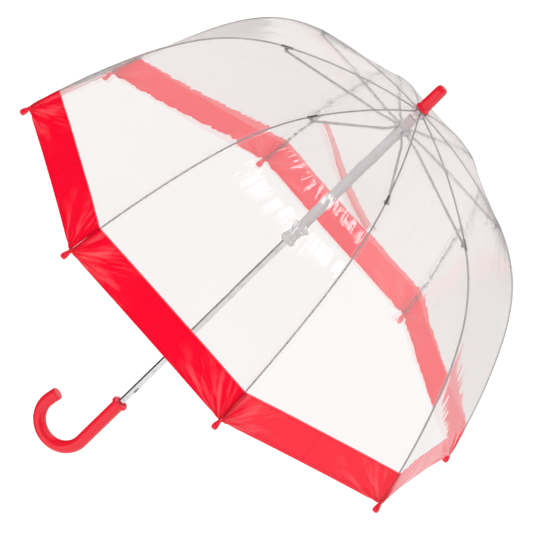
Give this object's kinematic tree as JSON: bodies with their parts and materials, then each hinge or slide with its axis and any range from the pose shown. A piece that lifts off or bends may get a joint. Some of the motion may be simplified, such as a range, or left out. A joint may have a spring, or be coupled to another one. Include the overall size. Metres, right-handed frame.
{
  "type": "stick umbrella",
  "caption": "Clear dome stick umbrella with a red border, wire ribs that fold with the runner, and a red crook handle.",
  "frame": {"origin": "centre of the grip, on the shaft's axis", "axes": "+Z along the shaft, from the grip towards the ferrule; the first rib points along -X and the rest follow every 45 degrees anticlockwise seen from the ferrule"},
  "size_m": [0.6942, 0.6942, 0.7052],
  "materials": {
    "chrome_tube": "polished plated tube",
    "red_gloss": "glossy moulded plastic",
    "milky_plastic": "translucent whitish moulding",
    "steel_wire": "plated wire and strip",
    "clear_film": "clear glossy film",
    "red_film": "glossy soft film"
  },
  "bodies": {
    "frame": {"shaft": "chrome_tube", "handle": "red_gloss", "ferrule": "red_gloss", "top_notch": "milky_plastic", "notch_wire": "steel_wire"},
    "runner": {"runner": "milky_plastic", "runner_wire": "steel_wire"},
    "upper_catch": {"upper_catch": "steel_wire"},
    "lower_catch": {"lower_catch": "steel_wire"},
    "rib_inner_1": {"rib_inner_1": "steel_wire", "canopy_upper_1": "clear_film"},
    "rib_outer_1": {"rib_outer_1": "steel_wire", "canopy_lower_1": "clear_film", "border_1": "red_film"},
    "stretcher_1": {"stretcher_1": "steel_wire"},
    "rib_inner_2": {"rib_inner_2": "steel_wire", "canopy_upper_2": "clear_film"},
    "rib_outer_2": {"rib_outer_2": "steel_wire", "canopy_lower_2": "clear_film", "border_2": "red_film"},
    "stretcher_2": {"stretcher_2": "steel_wire"},
    "rib_inner_3": {"rib_inner_3": "steel_wire", "canopy_upper_3": "clear_film"},
    "rib_outer_3": {"rib_outer_3": "steel_wire", "canopy_lower_3": "clear_film", "border_3": "red_film"},
    "stretcher_3": {"stretcher_3": "steel_wire"},
    "rib_inner_4": {"rib_inner_4": "steel_wire", "canopy_upper_4": "clear_film"},
    "rib_outer_4": {"rib_outer_4": "steel_wire", "canopy_lower_4": "clear_film", "border_4": "red_film"},
    "stretcher_4": {"stretcher_4": "steel_wire"},
    "rib_inner_5": {"rib_inner_5": "steel_wire", "canopy_upper_5": "clear_film"},
    "rib_outer_5": {"rib_outer_5": "steel_wire", "canopy_lower_5": "clear_film", "border_5": "red_film"},
    "stretcher_5": {"stretcher_5": "steel_wire"},
    "rib_inner_6": {"rib_inner_6": "steel_wire", "canopy_upper_6": "clear_film"},
    "rib_outer_6": {"rib_outer_6": "steel_wire", "canopy_lower_6": "clear_film", "border_6": "red_film"},
    "stretcher_6": {"stretcher_6": "steel_wire"},
    "rib_inner_7": {"rib_inner_7": "steel_wire", "canopy_upper_7": "clear_film"},
    "rib_outer_7": {"rib_outer_7": "steel_wire", "canopy_lower_7": "clear_film", "border_7": "red_film", "tie_strap": "red_film"},
    "stretcher_7": {"stretcher_7": "steel_wire"},
    "rib_inner_8": {"rib_inner_8": "steel_wire", "canopy_upper_8": "clear_film"},
    "rib_outer_8": {"rib_outer_8": "steel_wire", "canopy_lower_8": "clear_film", "border_8": "red_film"},
    "stretcher_8": {"stretcher_8": "steel_wire"}
  },
  "joints": [
    {"name": "runner_slide", "type": "slide", "parent": "frame", "child": "runner", "axis": [0, 0, 1], "range_m": [-0.296, 0]},
    {"name": "upper_catch_press", "type": "slide", "parent": "frame", "child": "upper_catch", "axis": [0.5, -0.866, 0], "range_m": [-0.0016, 0], "stiffness_N_per_m": 400, "springref_m": 0.001},
    {"name": "lower_catch_press", "type": "slide", "parent": "frame", "child": "lower_catch", "axis": [0.5, -0.866, 0], "range_m": [-0.0016, 0], "stiffness_N_per_m": 400, "springref_m": 0.001},
    {"name": "rib_fold_1", "type": "hinge", "parent": "frame", "child": "rib_inner_1", "pos_m": [-0.007, 0, 0.5825], "axis": [0, -1, 0], "range_deg": [0, 65.92], "deforming": ["canopy_upper_1"]},
    {"name": "rib_flex_1", "type": "hinge", "parent": "rib_inner_1", "child": "rib_outer_1", "pos_m": [-0.22212, 0, 0.50417], "axis": [0, -1, 0], "range_deg": [-38.1, 0], "deforming": ["canopy_lower_1", "border_1"]},
    {"name": "stretcher_fold_1", "type": "hinge", "parent": "runner", "child": "stretcher_1", "pos_m": [-0.009, 0, 0.5515], "axis": [0, -1, 0], "range_deg": [-89.17, 0]},
    {"name": "rib_fold_2", "type": "hinge", "parent": "frame", "child": "rib_inner_2", "pos_m": [-0.00495, -0.00495, 0.5825], "axis": [0.7071, -0.7071, 0], "range_deg": [0, 65.92], "deforming": ["canopy_upper_2"]},
    {"name": "rib_flex_2", "type": "hinge", "parent": "rib_inner_2", "child": "rib_outer_2", "pos_m": [-0.15706, -0.15706, 0.50417], "axis": [0.7071, -0.7071, 0], "range_deg": [-38.1, 0], "deforming": ["canopy_lower_2", "border_2"]},
    {"name": "stretcher_fold_2", "type": "hinge", "parent": "runner", "child": "stretcher_2", "pos_m": [-0.00636, -0.00636, 0.5515], "axis": [0.7071, -0.7071, 0], "range_deg": [-89.17, 0]},
    {"name": "rib_fold_3", "type": "hinge", "parent": "frame", "child": "rib_inner_3", "pos_m": [0, -0.007, 0.5825], "axis": [1, 0, 0], "range_deg": [0, 65.92], "deforming": ["canopy_upper_3"]},
    {"name": "rib_flex_3", "type": "hinge", "parent": "rib_inner_3", "child": "rib_outer_3", "pos_m": [0, -0.22212, 0.50417], "axis": [1, 0, 0], "range_deg": [-38.1, 0], "deforming": ["canopy_lower_3", "border_3"]},
    {"name": "stretcher_fold_3", "type": "hinge", "parent": "runner", "child": "stretcher_3", "pos_m": [0, -0.009, 0.5515], "axis": [1, 0, 0], "range_deg": [-89.17, 0]},
    {"name": "rib_fold_4", "type": "hinge", "parent": "frame", "child": "rib_inner_4", "pos_m": [0.00495, -0.00495, 0.5825], "axis": [0.7071, 0.7071, 0], "range_deg": [0, 65.92], "deforming": ["canopy_upper_4"]},
    {"name": "rib_flex_4", "type": "hinge", "parent": "rib_inner_4", "child": "rib_outer_4", "pos_m": [0.15706, -0.15706, 0.50417], "axis": [0.7071, 0.7071, 0], "range_deg": [-38.1, 0], "deforming": ["canopy_lower_4", "border_4"]},
    {"name": "stretcher_fold_4", "type": "hinge", "parent": "runner", "child": "stretcher_4", "pos_m": [0.00636, -0.00636, 0.5515], "axis": [0.7071, 0.7071, 0], "range_deg": [-89.17, 0]},
    {"name": "rib_fold_5", "type": "hinge", "parent": "frame", "child": "rib_inner_5", "pos_m": [0.007, 0, 0.5825], "axis": [0, 1, 0], "range_deg": [0, 65.92], "deforming": ["canopy_upper_5"]},
    {"name": "rib_flex_5", "type": "hinge", "parent": "rib_inner_5", "child": "rib_outer_5", "pos_m": [0.22212, 0, 0.50417], "axis": [0, 1, 0], "range_deg": [-38.1, 0], "deforming": ["canopy_lower_5", "border_5"]},
    {"name": "stretcher_fold_5", "type": "hinge", "parent": "runner", "child": "stretcher_5", "pos_m": [0.009, 0, 0.5515], "axis": [0, 1, 0], "range_deg": [-89.17, 0]},
    {"name": "rib_fold_6", "type": "hinge", "parent": "frame", "child": "rib_inner_6", "pos_m": [0.00495, 0.00495, 0.5825], "axis": [-0.7071, 0.7071, 0], "range_deg": [0, 65.92], "deforming": ["canopy_upper_6"]},
    {"name": "rib_flex_6", "type": "hinge", "parent": "rib_inner_6", "child": "rib_outer_6", "pos_m": [0.15706, 0.15706, 0.50417], "axis": [-0.7071, 0.7071, 0], "range_deg": [-38.1, 0], "deforming": ["canopy_lower_6", "border_6"]},
    {"name": "stretcher_fold_6", "type": "hinge", "parent": "runner", "child": "stretcher_6", "pos_m": [0.00636, 0.00636, 0.5515], "axis": [-0.7071, 0.7071, 0], "range_deg": [-89.17, 0]},
    {"name": "rib_fold_7", "type": "hinge", "parent": "frame", "child": "rib_inner_7", "pos_m": [0, 0.007, 0.5825], "axis": [-1, 0, 0], "range_deg": [0, 65.92], "deforming": ["canopy_upper_7"]},
    {"name": "rib_flex_7", "type": "hinge", "parent": "rib_inner_7", "child": "rib_outer_7", "pos_m": [0, 0.22212, 0.50417], "axis": [-1, 0, 0], "range_deg": [-38.1, 0], "deforming": ["canopy_lower_7", "border_7", "tie_strap"]},
    {"name": "stretcher_fold_7", "type": "hinge", "parent": "runner", "child": "stretcher_7", "pos_m": [0, 0.009, 0.5515], "axis": [-1, 0, 0], "range_deg": [-89.17, 0]},
    {"name": "rib_fold_8", "type": "hinge", "parent": "frame", "child": "rib_inner_8", "pos_m": [-0.00495, 0.00495, 0.5825], "axis": [-0.7071, -0.7071, 0], "range_deg": [0, 65.92], "deforming": ["canopy_upper_8"]},
    {"name": "rib_flex_8", "type": "hinge", "parent": "rib_inner_8", "child": "rib_outer_8", "pos_m": [-0.15706, 0.15706, 0.50417], "axis": [-0.7071, -0.7071, 0], "range_deg": [-38.1, 0], "deforming": ["canopy_lower_8", "border_8"]},
    {"name": "stretcher_fold_8", "type": "hinge", "parent": "runner", "child": "stretcher_8", "pos_m": [-0.00636, 0.00636, 0.5515], "axis": [-0.7071, -0.7071, 0], "range_deg": [-89.17, 0]}
  ],
  "couplings": [
    {"joint": "rib_fold_1", "follows": "runner_slide", "rad_per_m": -3.886},
    {"joint": "rib_flex_1", "follows": "runner_slide", "rad_per_m": 2.2459},
    {"joint": "stretcher_fold_1", "follows": "runner_slide", "rad_per_m": 5.257},
    {"joint": "rib_fold_2", "follows": "runner_slide", "rad_per_m": -3.886},
    {"joint": "rib_flex_2", "follows": "runner_slide", "rad_per_m": 2.2459},
    {"joint": "stretcher_fold_2", "follows": "runner_slide", "rad_per_m": 5.257},
    {"joint": "rib_fold_3", "follows": "runner_slide", "rad_per_m": -3.886},
    {"joint": "rib_flex_3", "follows": "runner_slide", "rad_per_m": 2.2459},
    {"joint": "stretcher_fold_3", "follows": "runner_slide", "rad_per_m": 5.257},
    {"joint": "rib_fold_4", "follows": "runner_slide", "rad_per_m": -3.886},
    {"joint": "rib_flex_4", "follows": "runner_slide", "rad_per_m": 2.2459},
    {"joint": "stretcher_fold_4", "follows": "runner_slide", "rad_per_m": 5.257},
    {"joint": "rib_fold_5", "follows": "runner_slide", "rad_per_m": -3.886},
    {"joint": "rib_flex_5", "follows": "runner_slide", "rad_per_m": 2.2459},
    {"joint": "stretcher_fold_5", "follows": "runner_slide", "rad_per_m": 5.257},
    {"joint": "rib_fold_6", "follows": "runner_slide", "rad_per_m": -3.886},
    {"joint": "rib_flex_6", "follows": "runner_slide", "rad_per_m": 2.2459},
    {"joint": "stretcher_fold_6", "follows": "runner_slide", "rad_per_m": 5.257},
    {"joint": "rib_fold_7", "follows": "runner_slide", "rad_per_m": -3.886},
    {"joint": "rib_flex_7", "follows": "runner_slide", "rad_per_m": 2.2459},
    {"joint": "stretcher_fold_7", "follows": "runner_slide", "rad_per_m": 5.257},
    {"joint": "rib_fold_8", "follows": "runner_slide", "rad_per_m": -3.886},
    {"joint": "rib_flex_8", "follows": "runner_slide", "rad_per_m": 2.2459},
    {"joint": "stretcher_fold_8", "follows": "runner_slide", "rad_per_m": 5.257}
  ]
}
